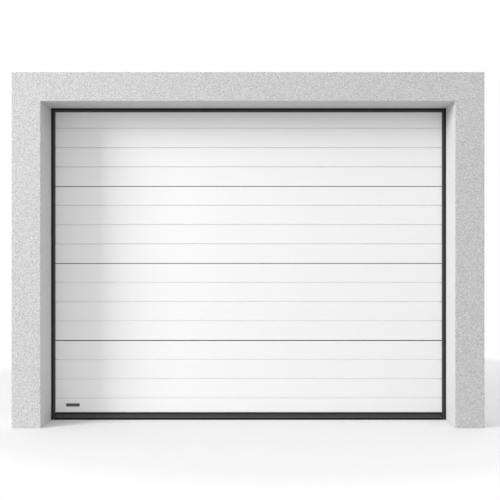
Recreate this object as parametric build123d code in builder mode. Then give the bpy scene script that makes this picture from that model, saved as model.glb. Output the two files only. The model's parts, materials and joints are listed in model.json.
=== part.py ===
from math import asin, cos, pi
import os

from build123d import *

os.makedirs("parts", exist_ok=True)

# Frame: millimetres, X along the wall, +Y into the garage, +Z up.
# The origin is the middle of the leaf's bottom seal, where it meets the floor.

# Wall round the doorway
opening_width = 2556
opening_height = 2015
wall_thickness = 250
pier_width = 180
lintel_height = 180

# Door leaf: sections stacked on tongues
section_count = 4
strips_per_section = 4
leaf_thickness = 42
leaf_bottom = 11
leaf_head_gap = 4
leaf_side_cover = 16
section_gap = 3
edge_chamfer = 2
groove_width = 8
groove_root = 5
groove_depth = 6.5
tongue_width = 16
tongue_height = 10
tongue_round = 3
tongue_clearance = 1
end_cap_thickness = 1.5
end_cap_leg = 70
end_cap_margin = 3

# Bottom edge: retainer profile and rubber seal
retainer_height = 43
retainer_thickness = 3
retainer_base = 4
retainer_belly = 3
retainer_belly_height = 24
retainer_nose = 3
retainer_nose_height = 14
retainer_rear_height = 36
retainer_end_gap = 3
seal_foot_width = 28
seal_hollow = 5
seal_lip_reach = 42
seal_lip_edge = 2

# Seals on the frame's inner edge
wall_to_leaf = 12
seal_cover_side = 24
seal_cover_head = 24
seal_face = 3
seal_web = 2
seal_lip_width = 14
seal_lip_root = 3
seal_lip_tip = 1.5
seal_hook = 3
seal_gap = 0.4

# Steel frame behind the wall
frame_sheet = 2
post_flange = 100
frame_rise = 93
head_rail_flange = 18

# Tracks and rollers
track_width = 52
track_depth = 26
track_sheet = 2
track_slot = 20
track_corner = 3
track_foot = 20
track_leaf_gap = 8
track_offset = 21
curve_radius = 300
track_rise = 118
track_run_out = 60
wheel_clearance = 0.4
wheel_width = 12
wheel_edge = 2
wheel_recess = 2
wheel_rim = 5
wheel_hub_radius = 10
stem_radius = 5.5
stem_head_radius = 8
stem_head = 2
stem_tail = 8
running_clearance = 0.1

# Hinges and brackets on the leaf's back
plate_sheet = 3
hinge_width = 60
hinge_reach = 60
hinge_pin_radius = 3
knuckle_radius = 6
knuckle_width = 20
knuckle_gap = 0.4
hinge_neck = 8
hinge_edge_margin = 5
hinge_columns_inside = 2
hinge_spacing_inside = 840
hinge_roller_drop = 30
ear_radius = 12
sleeve_wall = 3
sleeve_overhang = 3
bracket_height = 110
bottom_roller_height = 76
top_roller_drop = 54
top_bracket_margin = 9
side_plate_depth = 40
cable_stud_radius = 4
cable_stud_length = 8
cable_stud_height = 110

# Counterbalance above the doorway
shaft_radius = 12.7
shaft_wall = 2
shaft_rise = 193
shaft_back = 45
shaft_end_run = 40
shaft_clearance = 0.2
spring_radius = 33
spring_wire = 6
spring_length = 480
cone_radius = 40
cone_flange = 14
cone_plug = 40
cone_collar_radius = 24
cone_collar = 30
winding_hole_radius = 6.5
drum_radius = 48
drum_rim_radius = 53
drum_rim = 4
drum_width = 44
drum_hub_radius = 22
drum_hub = 18
drum_grooves = 5
drum_groove_pitch = 6
drum_groove_depth = 1.5
cable_radius = 1.5
cable_gap = 1
bearing_radius = 26
bearing_width = 12

# Brackets, hangers and crossbar
bracket_sheet = 3
wall_flange = 42
bracket_margin = 2
bearing_margin = 35
bearing_shoulder = 30
corner_reach = 210
centre_plate_width = 90
hanger_width = 80
hanger_flange = 60
hanger_rise = 145
hanger_overlap = 40
hanger_hole_radius = 5
hanger_hole_spacing = 40
hanger_hole_inset = 34
front_hanger_share = 0.45
crossbar_height = 50
crossbar_depth = 25
crossbar_wall = 2

# Heights and depths that follow
leaf_front = -leaf_thickness / 2
leaf_back = leaf_thickness / 2
wall_inner = leaf_front - wall_to_leaf
leaf_top = opening_height - leaf_head_gap
section_pitch = (leaf_top - leaf_bottom) / section_count
clear_width = opening_width - 2 * seal_cover_side
clear_height = opening_height - seal_cover_head
leaf_width = clear_width + 2 * leaf_side_cover
core_length = leaf_width - 2 * end_cap_thickness
joint_heights = [leaf_bottom + k * section_pitch for k in range(1, section_count)]
lintel_top = opening_height + lintel_height
frame_top = opening_height + frame_rise
cap_face = leaf_back + end_cap_thickness
hinge_x = leaf_width / 2 - hinge_edge_margin - hinge_width / 2
track_y = leaf_back + track_offset
track_x = leaf_width / 2 + track_leaf_gap
web_x = track_x + track_depth
track_z = opening_height + track_rise
curve_z = track_z - curve_radius
curve_y = track_y + curve_radius
wheel_radius = track_width / 2 - track_sheet - wheel_clearance
wheel_x = track_x + track_depth / 2
top_roller_z = leaf_top - top_roller_drop
top_roller_turn = asin((top_roller_z - curve_z) / curve_radius)
top_roller_y = track_y + curve_radius * (1 - cos(top_roller_turn))
top_roller_path = curve_z + curve_radius * top_roller_turn
level_run = top_roller_path + opening_height - curve_z - curve_radius * pi / 2 + track_run_out
track_end = curve_y + level_run
roller_heights = [bottom_roller_height] + [z - hinge_roller_drop for z in joint_heights]
roller_places = [(track_y, z) for z in roller_heights] + [(top_roller_y, top_roller_z)]
shaft_z = opening_height + shaft_rise
cable_x = leaf_width / 2 + plate_sheet + cable_gap + cable_radius
cable_y = shaft_back - drum_radius - cable_radius - seal_gap


def save(part, name):
    """Labels one finished piece and writes it as its own file."""
    part.label = name
    export_step(part, f"parts/{name}.step")


def save_pair(right, name):
    """Writes the right-hand piece, and its mirror image as the left-hand one."""
    with BuildPart() as left:
        mirror(right.part, about=Plane.YZ)
    save(right.part, f"right_{name}")
    save(left.part, f"left_{name}")


def save_both_sides(right, name):
    """Writes the right-hand pieces and their mirror images together."""
    with BuildPart() as both:
        add(right.part)
        mirror(right.part, about=Plane.YZ)
    save(both.part, name)


# Wall: two piers and the lintel they carry
wall_middle = wall_inner - wall_thickness / 2
with BuildPart() as pier:
    with Locations((opening_width / 2 + pier_width / 2, wall_middle, 0)):
        Box(pier_width, wall_thickness, opening_height, align=(Align.CENTER, Align.CENTER, Align.MIN))
save_pair(pier, "pier")

with BuildPart() as lintel:
    with Locations((0, wall_middle, opening_height)):
        Box(
            opening_width + 2 * pier_width,
            wall_thickness,
            lintel_height,
            align=(Align.CENTER, Align.CENTER, Align.MIN),
        )
save(lintel.part, "lintel")


# Leaf sections: grooved face, tongue on top, matching groove below
def section_span(index):
    """Lower and upper shoulder heights of one section."""
    low = leaf_bottom + index * section_pitch
    gap = section_gap if index < section_count - 1 else 0
    return low, low + section_pitch - gap


def leaf_section(index):
    """One section of the leaf, counted from the floor."""
    low, high = section_span(index)
    strip = section_pitch / strips_per_section
    groove_heights = [low + n * strip for n in range(1, strips_per_section)]
    with BuildPart() as section:
        with BuildSketch(Plane.YZ.offset(-core_length / 2)) as profile:
            with Locations((0, (low + high) / 2)):
                Rectangle(leaf_thickness, high - low)
            chamfer(profile.vertices().group_by(Axis.X)[0], length=edge_chamfer)
            with Locations(*[(leaf_front, z) for z in groove_heights]):
                Polygon(
                    (0, -groove_width / 2),
                    (groove_depth, -groove_root / 2),
                    (groove_depth, groove_root / 2),
                    (0, groove_width / 2),
                    align=None,
                    mode=Mode.SUBTRACT,
                )
            if index > 0:
                with Locations((0, low)):
                    Rectangle(
                        tongue_width + 2 * tongue_clearance,
                        tongue_height - section_gap,
                        align=(Align.CENTER, Align.MIN),
                        mode=Mode.SUBTRACT,
                    )
            if index < section_count - 1:
                with Locations((0, high)):
                    Rectangle(tongue_width, tongue_height, align=(Align.CENTER, Align.MIN))
                fillet(profile.vertices().group_by(Axis.Y)[-1], radius=tongue_round)
        extrude(amount=core_length)
    return section.part


for index in range(section_count):
    save(leaf_section(index), f"leaf_section_{index + 1}")

# Folded caps over the sections' ends, with a leg on the back face for the hardware
with BuildPart() as end_caps:
    for index in range(section_count):
        low, high = section_span(index)
        cap_low = low + end_cap_margin if index else retainer_rear_height + end_cap_margin
        cap_height = high - end_cap_margin - cap_low
        with BuildSketch(Plane.XY.offset(cap_low)):
            with Locations((leaf_width / 2, leaf_front)):
                Rectangle(
                    end_cap_thickness,
                    leaf_thickness + end_cap_thickness,
                    align=(Align.MAX, Align.MIN),
                )
            with Locations((leaf_width / 2, leaf_back)):
                Rectangle(end_cap_leg, end_cap_thickness, align=(Align.MAX, Align.MIN))
        extrude(amount=cap_height)
save_pair(end_caps, "end_caps")

# Bottom retainer: a trough under the leaf's edge, its front leg bellied, with a nose that sheds rain
edge_length = clear_width - 2 * retainer_end_gap
retainer_low = leaf_bottom - retainer_base
belly_top = retainer_low + retainer_belly_height
leg_front = leaf_front - retainer_thickness
belly_front = leg_front - retainer_belly
with BuildPart() as bottom_retainer:
    with BuildSketch(Plane.YZ.offset(-edge_length / 2)):
        with BuildLine():
            front = Polyline(
                (leaf_front, leaf_bottom),
                (leaf_front, retainer_height),
                (leg_front, retainer_height),
                (leg_front, belly_top + retainer_belly),
                (belly_front, belly_top),
            )
            nose = Polyline(
                front @ 1,
                (belly_front, retainer_low + retainer_nose_height),
                (belly_front - retainer_nose, retainer_low + retainer_nose_height / 2),
                (belly_front - retainer_nose, retainer_low + retainer_nose),
                (belly_front, retainer_low),
            )
            Polyline(
                nose @ 1,
                (leaf_back + retainer_thickness, retainer_low),
                (leaf_back + retainer_thickness, retainer_rear_height),
                (leaf_back, retainer_rear_height),
                (leaf_back, leaf_bottom),
                front @ 0,
            )
        make_face()
    extrude(amount=edge_length)
save(bottom_retainer.part, "bottom_retainer")

# Bottom seal: hollow rubber with a flat foot and a lip that lies forward on the floor
with BuildPart() as bottom_seal:
    with BuildSketch(Plane.YZ.offset(-edge_length / 2)):
        with BuildLine():
            Polyline(
                (-seal_lip_reach, 0),
                (seal_foot_width / 2, 0),
                (leaf_back, retainer_low / 2),
                (leaf_back, retainer_low),
                (leg_front, retainer_low),
                (-seal_lip_reach, seal_lip_edge),
                close=True,
            )
        make_face()
        with Locations((0, retainer_low / 2)):
            SlotOverall(seal_foot_width, seal_hollow, mode=Mode.SUBTRACT)
    extrude(amount=edge_length)
save(bottom_seal.part, "bottom_seal")


# Side and head seals: a strip on the frame's face, a web with a hook behind the frame, and a
# lip that lies on the leaf, mitred at the corners
def seal_profile(cover):
    """Seal section. X runs away from the clear opening, Y into the garage from the wall's face."""
    leaf_contact = wall_to_leaf - seal_gap
    with BuildSketch(mode=Mode.PRIVATE) as profile:
        with Locations((seal_lip_width, 0)):
            Rectangle(cover - seal_gap - seal_lip_width, seal_face, align=(Align.MIN, Align.MAX))
            Rectangle(seal_web, leaf_contact, align=(Align.MIN, Align.MIN))
        with Locations((seal_lip_width + seal_web, frame_sheet)):
            Rectangle(seal_hook, seal_hook, align=(Align.MIN, Align.MIN))
        Polygon(
            (0, leaf_contact),
            (0, leaf_contact - seal_lip_tip),
            (seal_lip_width, leaf_contact - seal_lip_root),
            (seal_lip_width, leaf_contact),
            align=None,
        )
    return profile.sketch


def mitre(side):
    """Plane through the seals' corner, at 45 degrees. side is 1 for the right and -1 for the left."""
    corner = (side * clear_width / 2, wall_inner, clear_height)
    return Plane(origin=corner, x_dir=(0, 1, 0), z_dir=(-side, 0, 1))


with BuildPart() as side_seal:
    with BuildSketch():
        with Locations((clear_width / 2, wall_inner)):
            add(seal_profile(seal_cover_side))
    extrude(amount=opening_height)
    split(bisect_by=mitre(1), keep=Keep.BOTTOM)
save_pair(side_seal, "side_seal")

head_reach = clear_width / 2 + seal_cover_head
with BuildPart() as head_seal:
    with BuildSketch(Plane(origin=(head_reach, wall_inner, clear_height), x_dir=(0, 0, 1), z_dir=(-1, 0, 0))):
        add(seal_profile(seal_cover_head))
    extrude(amount=2 * head_reach)
    split(bisect_by=mitre(1), keep=Keep.TOP)
    split(bisect_by=mitre(-1), keep=Keep.TOP)
save(head_seal.part, "head_seal")

# Frame: angle posts on the wall's inner face and a head rail between them
post_edge = clear_width / 2 + seal_lip_width + seal_web
with BuildPart() as post:
    with BuildSketch():
        with Locations((post_edge, wall_inner)):
            Rectangle(web_x + frame_sheet - post_edge, frame_sheet, align=(Align.MIN, Align.MIN))
        with Locations((web_x, wall_inner)):
            Rectangle(frame_sheet, post_flange, align=(Align.MIN, Align.MIN))
    extrude(amount=frame_top)
save_pair(post, "frame_post")

rail_bottom = clear_height + seal_lip_width + seal_web
with BuildPart() as head_rail:
    with BuildSketch(Plane.YZ.offset(-post_edge)):
        with Locations((wall_inner, rail_bottom)):
            Rectangle(frame_sheet, frame_top - rail_bottom, align=(Align.MIN, Align.MIN))
        with Locations((wall_inner, frame_top)):
            Rectangle(head_rail_flange, frame_sheet, align=(Align.MIN, Align.MAX))
    extrude(amount=2 * post_edge)
save(head_rail.part, "head_rail")


# Tracks: C sections that hold the rollers, open towards the leaf
def track_profile():
    """C section about the roller's centre line. X runs into the track, Y across its width."""
    with BuildSketch(mode=Mode.PRIVATE) as profile:
        RectangleRounded(track_depth, track_width, track_corner)
        RectangleRounded(
            track_depth - 2 * track_sheet,
            track_width - 2 * track_sheet,
            track_corner - track_sheet / 2,
            mode=Mode.SUBTRACT,
        )
        with Locations((-track_depth / 2, 0)):
            Rectangle(2 * track_sheet + running_clearance, track_slot, mode=Mode.SUBTRACT)
    return profile.sketch


with BuildPart() as vertical_track:
    with BuildSketch(Plane.XY.offset(track_foot)):
        with Locations((wheel_x, track_y)):
            add(track_profile())
    extrude(amount=curve_z - track_foot)
save_pair(vertical_track, "vertical_track")

with BuildPart() as curved_track:
    with BuildSketch(Plane.XY.offset(curve_z)):
        with Locations((wheel_x, track_y)):
            add(track_profile())
    revolve(axis=Axis((0, curve_y, curve_z), (-1, 0, 0)), revolution_arc=90)
save_pair(curved_track, "curved_track")

level_plane = Plane(origin=(wheel_x, curve_y, track_z), x_dir=(1, 0, 0), z_dir=(0, 1, 0))
with BuildPart() as level_track:
    with BuildSketch(level_plane):
        add(track_profile())
    extrude(amount=level_run)
save_pair(level_track, "level_track")


# Rollers: a nylon wheel on a steel stem, which turns in a sleeve on the leaf
def stem_plane(place, x):
    """Plane across a roller's axis, at a distance x from the middle of the door."""
    return Plane(origin=(x, *place), x_dir=(0, 1, 0), z_dir=(1, 0, 0))


with BuildPart() as wheels:
    for place in roller_places:
        wheel_plane = Plane(origin=(wheel_x, *place), x_dir=(1, 0, 0), z_dir=(0, -1, 0))
        with BuildSketch(wheel_plane) as wheel_profile:
            with BuildLine():
                Polyline(
                    (-wheel_width / 2, stem_radius + running_clearance),
                    (wheel_width / 2, stem_radius + running_clearance),
                    (wheel_width / 2, wheel_hub_radius),
                    (wheel_width / 2 - wheel_recess, wheel_hub_radius),
                    (wheel_width / 2 - wheel_recess, wheel_radius - wheel_rim),
                    (wheel_width / 2, wheel_radius - wheel_rim),
                    (wheel_width / 2, wheel_radius),
                    (-wheel_width / 2, wheel_radius),
                    close=True,
                )
            make_face()
            chamfer(wheel_profile.vertices().group_by(Axis.Y)[-1], length=wheel_edge)
        revolve(axis=Axis((wheel_x, *place), (1, 0, 0)))
save_pair(wheels, "roller_wheels")

stem_end = hinge_x - hinge_width / 2 - stem_tail
wheel_outside = wheel_x + wheel_width / 2
with BuildPart() as stems:
    for place in roller_places:
        with BuildSketch(stem_plane(place, stem_end)):
            Circle(stem_radius)
        extrude(amount=wheel_outside - stem_end)
        with BuildSketch(stem_plane(place, wheel_outside)):
            Circle(stem_head_radius)
        extrude(amount=stem_head)
save_pair(stems, "roller_stems")


# Hinges between sections: two leaves with interleaved knuckles on one pin
def leaf_plate(x, face, low, high):
    """Flat plate on the leaf's back, hinge_width wide about x, between two heights."""
    with BuildPart() as plate:
        with BuildSketch(Plane.XZ.offset(-face)):
            with Locations((x, (low + high) / 2)):
                Rectangle(hinge_width, high - low)
        extrude(amount=-plate_sheet)
    return plate.part


def knuckle(x, face, pin_height, side):
    """Rolled knuckle and its neck. side is 1 for a neck that rises and -1 for one that hangs."""
    with BuildPart() as barrel:
        with BuildSketch(Plane.YZ.offset(x - knuckle_width / 2 + knuckle_gap / 2)):
            with Locations((face + plate_sheet / 2, pin_height + side * hinge_neck / 2)):
                Rectangle(plate_sheet, hinge_neck)
            with Locations((face + knuckle_radius, pin_height)):
                Circle(knuckle_radius)
                Circle(hinge_pin_radius + running_clearance, mode=Mode.SUBTRACT)
        extrude(amount=knuckle_width - knuckle_gap)
    return barrel.part


def roller_sleeve(face, place):
    """Two ears and the sleeve through them, which hold a roller's stem off the leaf."""
    y, z = place
    ear_span = hinge_width - plate_sheet
    with BuildPart() as holder:
        for x in (hinge_x - ear_span / 2, hinge_x + ear_span / 2):
            with BuildSketch(Plane.YZ.offset(x - plate_sheet / 2)):
                with Locations((face, z)):
                    Rectangle(y - face, 2 * ear_radius, align=(Align.MIN, Align.CENTER))
                with Locations(place):
                    Circle(ear_radius)
                    Circle(stem_radius + running_clearance, mode=Mode.SUBTRACT)
            extrude(amount=plate_sheet)
        with BuildSketch(stem_plane(place, hinge_x - hinge_width / 2)):
            Circle(stem_radius + running_clearance + sleeve_wall)
            Circle(stem_radius + running_clearance, mode=Mode.SUBTRACT)
        extrude(amount=hinge_width + sleeve_overhang)
    return holder.part


inner_columns = [
    (n - (hinge_columns_inside - 1) / 2) * hinge_spacing_inside for n in range(hinge_columns_inside)
]
hinge_columns = [(x, leaf_back) for x in inner_columns if x > 0] + [(hinge_x, cap_face)]
hinge_places = [(x, face, z - section_gap / 2) for x, face in hinge_columns for z in joint_heights]

with BuildPart() as lower_leaves:
    for x, face, pin_height in hinge_places:
        add(leaf_plate(x, face, pin_height - hinge_reach, pin_height - hinge_neck))
        add(knuckle(x - knuckle_width, face, pin_height, -1))
        add(knuckle(x + knuckle_width, face, pin_height, -1))
    for height in joint_heights:
        add(roller_sleeve(cap_face, (track_y, height - hinge_roller_drop)))
save_both_sides(lower_leaves, "hinge_lower_leaves")

with BuildPart() as upper_leaves:
    for x, face, pin_height in hinge_places:
        add(leaf_plate(x, face, pin_height + hinge_neck, pin_height + hinge_reach))
        add(knuckle(x, face, pin_height, 1))
save_both_sides(upper_leaves, "hinge_upper_leaves")

with BuildPart() as hinge_pins:
    for x, face, pin_height in hinge_places:
        with BuildSketch(stem_plane((face + knuckle_radius, pin_height), x - hinge_width / 2)):
            Circle(hinge_pin_radius)
        extrude(amount=hinge_width)
save_both_sides(hinge_pins, "hinge_pins")

# Bottom brackets: wrapped round the leaf's corner, with the stud that the cable pulls on
bracket_low = retainer_rear_height + end_cap_margin
with BuildPart() as bottom_bracket:
    add(leaf_plate(hinge_x, cap_face, bracket_low, bracket_low + bracket_height))
    add(roller_sleeve(cap_face, (track_y, bottom_roller_height)))
    with BuildSketch(Plane.XY.offset(bracket_low)):
        with Locations((leaf_width / 2 + plate_sheet, cap_face + plate_sheet)):
            Rectangle(
                hinge_edge_margin + 2 * plate_sheet,
                plate_sheet,
                align=(Align.MAX, Align.MAX),
            )
            Rectangle(plate_sheet, side_plate_depth, align=(Align.MAX, Align.MAX))
    extrude(amount=bracket_height)
    with BuildSketch(stem_plane((cable_y, cable_stud_height), leaf_width / 2 + plate_sheet)):
        Circle(cable_stud_radius)
    extrude(amount=cable_stud_length)
save_both_sides(bottom_bracket, "bottom_brackets")

# Top brackets: carry the top rollers, which already stand in the tracks' curve
bracket_high = leaf_top - top_bracket_margin
with BuildPart() as top_bracket:
    add(leaf_plate(hinge_x, cap_face, bracket_high - bracket_height, bracket_high))
    add(roller_sleeve(cap_face, (top_roller_y, top_roller_z)))
save_both_sides(top_bracket, "top_brackets")


# Counterbalance: one shaft with two springs, turning in three bearings
def turned(outline):
    """Ring turned about the shaft's axis, from (x, radius) corners."""
    axis_plane = Plane(origin=(0, shaft_back, shaft_z), x_dir=(1, 0, 0), z_dir=(0, -1, 0))
    with BuildPart() as ring:
        with BuildSketch(axis_plane):
            with BuildLine():
                Polyline(*outline, close=True)
            make_face()
        revolve(axis=Axis((0, shaft_back, shaft_z), (1, 0, 0)))
    return ring.part


shaft_bore = shaft_radius + shaft_clearance
shaft_reach = web_x + shaft_end_run
with BuildPart() as shaft:
    with BuildSketch(Plane(origin=(-shaft_reach, shaft_back, shaft_z), x_dir=(0, 1, 0), z_dir=(1, 0, 0))):
        Circle(shaft_radius)
        Circle(shaft_radius - shaft_wall, mode=Mode.SUBTRACT)
    extrude(amount=2 * shaft_reach)
save(shaft.part, "torsion_shaft")

anchor_face = bracket_sheet / 2
spring_start = anchor_face + cone_flange
spring_end = spring_start + spring_length
plug_radius = spring_radius - spring_wire - running_clearance
bearing_recess = bearing_width / 2 + running_clearance
with BuildPart() as cones:
    add(turned([
        (anchor_face, bearing_radius + running_clearance),
        (anchor_face, cone_radius),
        (spring_start, cone_radius),
        (spring_start, plug_radius),
        (spring_start + cone_plug, plug_radius),
        (spring_start + cone_plug, shaft_bore),
        (bearing_recess, shaft_bore),
        (bearing_recess, bearing_radius + running_clearance),
    ]))
    add(turned([
        (spring_end - cone_plug, shaft_bore),
        (spring_end - cone_plug, plug_radius),
        (spring_end, plug_radius),
        (spring_end, cone_radius),
        (spring_end + cone_flange, cone_radius),
        (spring_end + cone_flange, cone_collar_radius),
        (spring_end + cone_flange + cone_collar, cone_collar_radius),
        (spring_end + cone_flange + cone_collar, shaft_bore),
    ]))
    with Locations((spring_end + cone_flange + cone_collar / 2, shaft_back, shaft_z)):
        for turn in (45, 135):
            Cylinder(
                winding_hole_radius,
                3 * cone_collar_radius,
                rotation=(turn, 0, 0),
                mode=Mode.SUBTRACT,
            )
save_both_sides(cones, "spring_cones")

with BuildPart() as spring:
    add(turned([
        (spring_start, spring_radius - spring_wire),
        (spring_start, spring_radius),
        (spring_end, spring_radius),
        (spring_end, spring_radius - spring_wire),
    ]))
save_pair(spring, "torsion_spring")

drum_inside = cable_x - drum_width / 2
drum_outside = cable_x + drum_width / 2
groove_start = drum_outside - drum_rim - drum_groove_pitch / 2
groove_steps = []
for n in range(drum_grooves):
    x = groove_start - n * drum_groove_pitch
    groove_steps.append((x, drum_radius))
    groove_steps.append((x - drum_groove_pitch / 4, drum_radius - drum_groove_depth))
    groove_steps.append((x - drum_groove_pitch / 2, drum_radius))
with BuildPart() as drum:
    add(turned([
        (drum_inside - drum_hub, shaft_bore),
        (drum_outside, shaft_bore),
        (drum_outside, drum_rim_radius),
        (drum_outside - drum_rim, drum_rim_radius),
        (drum_outside - drum_rim, drum_radius),
        *groove_steps,
        (drum_inside, drum_radius),
        (drum_inside, drum_hub_radius),
        (drum_inside - drum_hub, drum_hub_radius),
    ]))
save_pair(drum, "cable_drum")

# Lift cables: straight from the brackets' studs to the front of the drums
cable_low = cable_stud_height + cable_stud_radius
with BuildPart() as cable:
    with BuildSketch(Plane(origin=(cable_x, cable_y, cable_low))):
        Circle(cable_radius)
    extrude(amount=shaft_z - cable_low)
save_both_sides(cable, "lift_cables")

# Bearing rings, seated in the plates that carry the shaft
end_bearing_x = web_x + bracket_sheet / 2
with BuildPart() as bearings:
    for x in (-end_bearing_x, 0, end_bearing_x):
        add(turned([
            (x - bearing_width / 2, shaft_bore),
            (x - bearing_width / 2, bearing_radius),
            (x + bearing_width / 2, bearing_radius),
            (x + bearing_width / 2, shaft_bore),
        ]))
save(bearings.part, "shaft_bearings")

# End plates: carry the shaft's ends and tie the tracks' corners to the wall
shoulder_z = shaft_z + bearing_margin
with BuildPart() as end_plate:
    with BuildSketch(Plane.YZ.offset(web_x)):
        with BuildLine():
            Polyline(
                (wall_inner, frame_top),
                (wall_inner, lintel_top - bracket_margin),
                (shaft_back - bearing_shoulder, shoulder_z),
                (shaft_back + bearing_shoulder, shoulder_z),
                (curve_y, track_z + track_width / 2),
                (curve_y + corner_reach, track_z + track_width / 2),
                (curve_y + corner_reach, frame_top),
                close=True,
            )
        make_face()
        with Locations((curve_y, curve_z)):
            Circle(curve_radius, mode=Mode.SUBTRACT)
        with Locations((shaft_back, shaft_z)):
            Circle(bearing_radius + running_clearance, mode=Mode.SUBTRACT)
    extrude(amount=bracket_sheet)
    with Locations((web_x, wall_inner, frame_top)):
        Box(
            wall_flange,
            bracket_sheet,
            lintel_top - bracket_margin - frame_top,
            align=(Align.MIN, Align.MIN, Align.MIN),
        )
save_pair(end_plate, "shaft_end_plate")

# Centre bracket: holds the middle bearing and the springs' fixed ends
with BuildPart() as centre_bracket:
    with Locations((0, wall_inner, frame_top)):
        Box(
            centre_plate_width,
            bracket_sheet,
            lintel_top - bracket_margin - frame_top,
            align=(Align.CENTER, Align.MIN, Align.MIN),
        )
    with BuildSketch(Plane.YZ.offset(-bracket_sheet / 2)):
        with BuildLine():
            Polyline(
                (wall_inner, frame_top),
                (wall_inner, lintel_top - bracket_margin),
                (shaft_back - cone_radius, shaft_z + cone_radius),
                (shaft_back + cone_radius, shaft_z + cone_radius),
                (shaft_back + cone_radius, shaft_z - cone_radius),
                close=True,
            )
        make_face()
        with Locations((shaft_back, shaft_z)):
            Circle(bearing_radius + running_clearance, mode=Mode.SUBTRACT)
    extrude(amount=bracket_sheet)
save(centre_bracket.part, "centre_bearing_bracket")

# Ceiling hangers: angles on the level tracks, with two bolt holes in each top flange
hanger_top = track_z + track_width / 2 + hanger_rise
hanger_low = track_z - hanger_overlap / 2
rear_hanger_y = track_end - track_run_out - hanger_width / 2
front_hanger_y = curve_y + front_hanger_share * level_run
with BuildPart() as hangers:
    for y in (front_hanger_y, rear_hanger_y):
        with BuildSketch(Plane.XZ.offset(-y - hanger_width / 2)):
            with Locations((web_x, hanger_low)):
                Rectangle(bracket_sheet, hanger_top - hanger_low, align=(Align.MIN, Align.MIN))
            with Locations((web_x, hanger_top)):
                Rectangle(hanger_flange, bracket_sheet, align=(Align.MIN, Align.MAX))
        extrude(amount=hanger_width)
        with Locations((web_x + hanger_hole_inset, y, hanger_top)):
            with GridLocations(0, hanger_hole_spacing, 1, 2):
                Hole(hanger_hole_radius, depth=bracket_sheet)
save_both_sides(hangers, "ceiling_hangers")

# Crossbar: a tube that holds the level tracks' ends apart
with BuildPart() as crossbar:
    with BuildSketch(Plane.YZ.offset(-web_x)):
        with Locations((track_end, track_z)):
            Rectangle(crossbar_depth, crossbar_height, align=(Align.MIN, Align.CENTER))
        with Locations((track_end + crossbar_wall, track_z)):
            Rectangle(
                crossbar_depth - 2 * crossbar_wall,
                crossbar_height - 2 * crossbar_wall,
                align=(Align.MIN, Align.CENTER),
                mode=Mode.SUBTRACT,
            )
    extrude(amount=2 * web_x)
save(crossbar.part, "rear_crossbar")
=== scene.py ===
"""Looks of a sectional garage door, closed, in its plastered doorway.

Sizes are millimetres until a mesh is made, which is in metres. X runs along the wall, Y into the
garage and Z up, from the middle of the leaf's bottom seal on the floor.
"""

import json
import logging
from dataclasses import dataclass, field
from enum import Enum
from functools import cached_property

import bmesh
import bpy
import numpy as np
from numpy.typing import ArrayLike
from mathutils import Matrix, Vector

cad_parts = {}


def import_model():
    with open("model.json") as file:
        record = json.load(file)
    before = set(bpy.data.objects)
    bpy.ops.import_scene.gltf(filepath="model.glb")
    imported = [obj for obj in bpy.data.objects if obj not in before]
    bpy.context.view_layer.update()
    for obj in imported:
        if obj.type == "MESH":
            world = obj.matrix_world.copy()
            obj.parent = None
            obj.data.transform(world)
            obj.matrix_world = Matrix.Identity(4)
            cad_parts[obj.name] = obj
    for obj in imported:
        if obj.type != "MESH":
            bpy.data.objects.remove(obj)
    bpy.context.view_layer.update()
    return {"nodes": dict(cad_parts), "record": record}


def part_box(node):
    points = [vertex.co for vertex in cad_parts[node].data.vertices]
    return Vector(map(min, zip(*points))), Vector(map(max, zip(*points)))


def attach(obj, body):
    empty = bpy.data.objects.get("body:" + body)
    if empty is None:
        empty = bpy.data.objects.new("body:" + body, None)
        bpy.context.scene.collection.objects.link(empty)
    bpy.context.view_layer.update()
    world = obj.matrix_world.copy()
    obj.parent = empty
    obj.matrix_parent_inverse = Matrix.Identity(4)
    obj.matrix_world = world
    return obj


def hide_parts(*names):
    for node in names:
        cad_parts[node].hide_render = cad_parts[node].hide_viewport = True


log = logging.getLogger("garage_door")

Socket = bpy.types.NodeSocket
Pair = tuple[float, float]
Point = tuple[float, float, float]
Profile = tuple[Pair, ...]

MM = 0.001
SIDES = {"left": -1, "right": 1}
SECTION_GAP = 3.0
PLATE_THICKNESS = 3.0
MERGE_DISTANCE = 0.002
SHORTEST_EDGE = 0.001
SHARP_ANGLE = 38
ALONG_X = 0.9
CORNER_STEPS = 7
NOISE_ENDS = (0.3, 0.7)


def node_box(name: str) -> tuple[np.ndarray, np.ndarray]:
    """Corners of one piece of the frame.

    Args:
        name: the piece's name in the frame.

    Returns:
        Its lowest and highest corner, in millimetres.
    """
    low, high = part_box(name)
    return np.array(low) / MM, np.array(high) / MM


# Shapes


class Facing(Enum):
    """Which way a fastener's head points, as the turn that takes its z axis there."""

    BACK = ((1, 0, 0), (0, 0, -1), (0, 1, 0))
    RIGHT = ((0, 1, 0), (0, 0, 1), (1, 0, 0))
    LEFT = ((0, -1, 0), (0, 0, 1), (-1, 0, 0))
    UP = ((1, 0, 0), (0, 1, 0), (0, 0, 1))
    FRONT = ((1, 0, 0), (0, 0, 1), (0, -1, 0))

    @classmethod
    def sideways(cls, sign: int) -> "Facing":
        """The way to the right for a sign of 1, and to the left for -1."""
        return cls.RIGHT if sign > 0 else cls.LEFT


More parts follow.
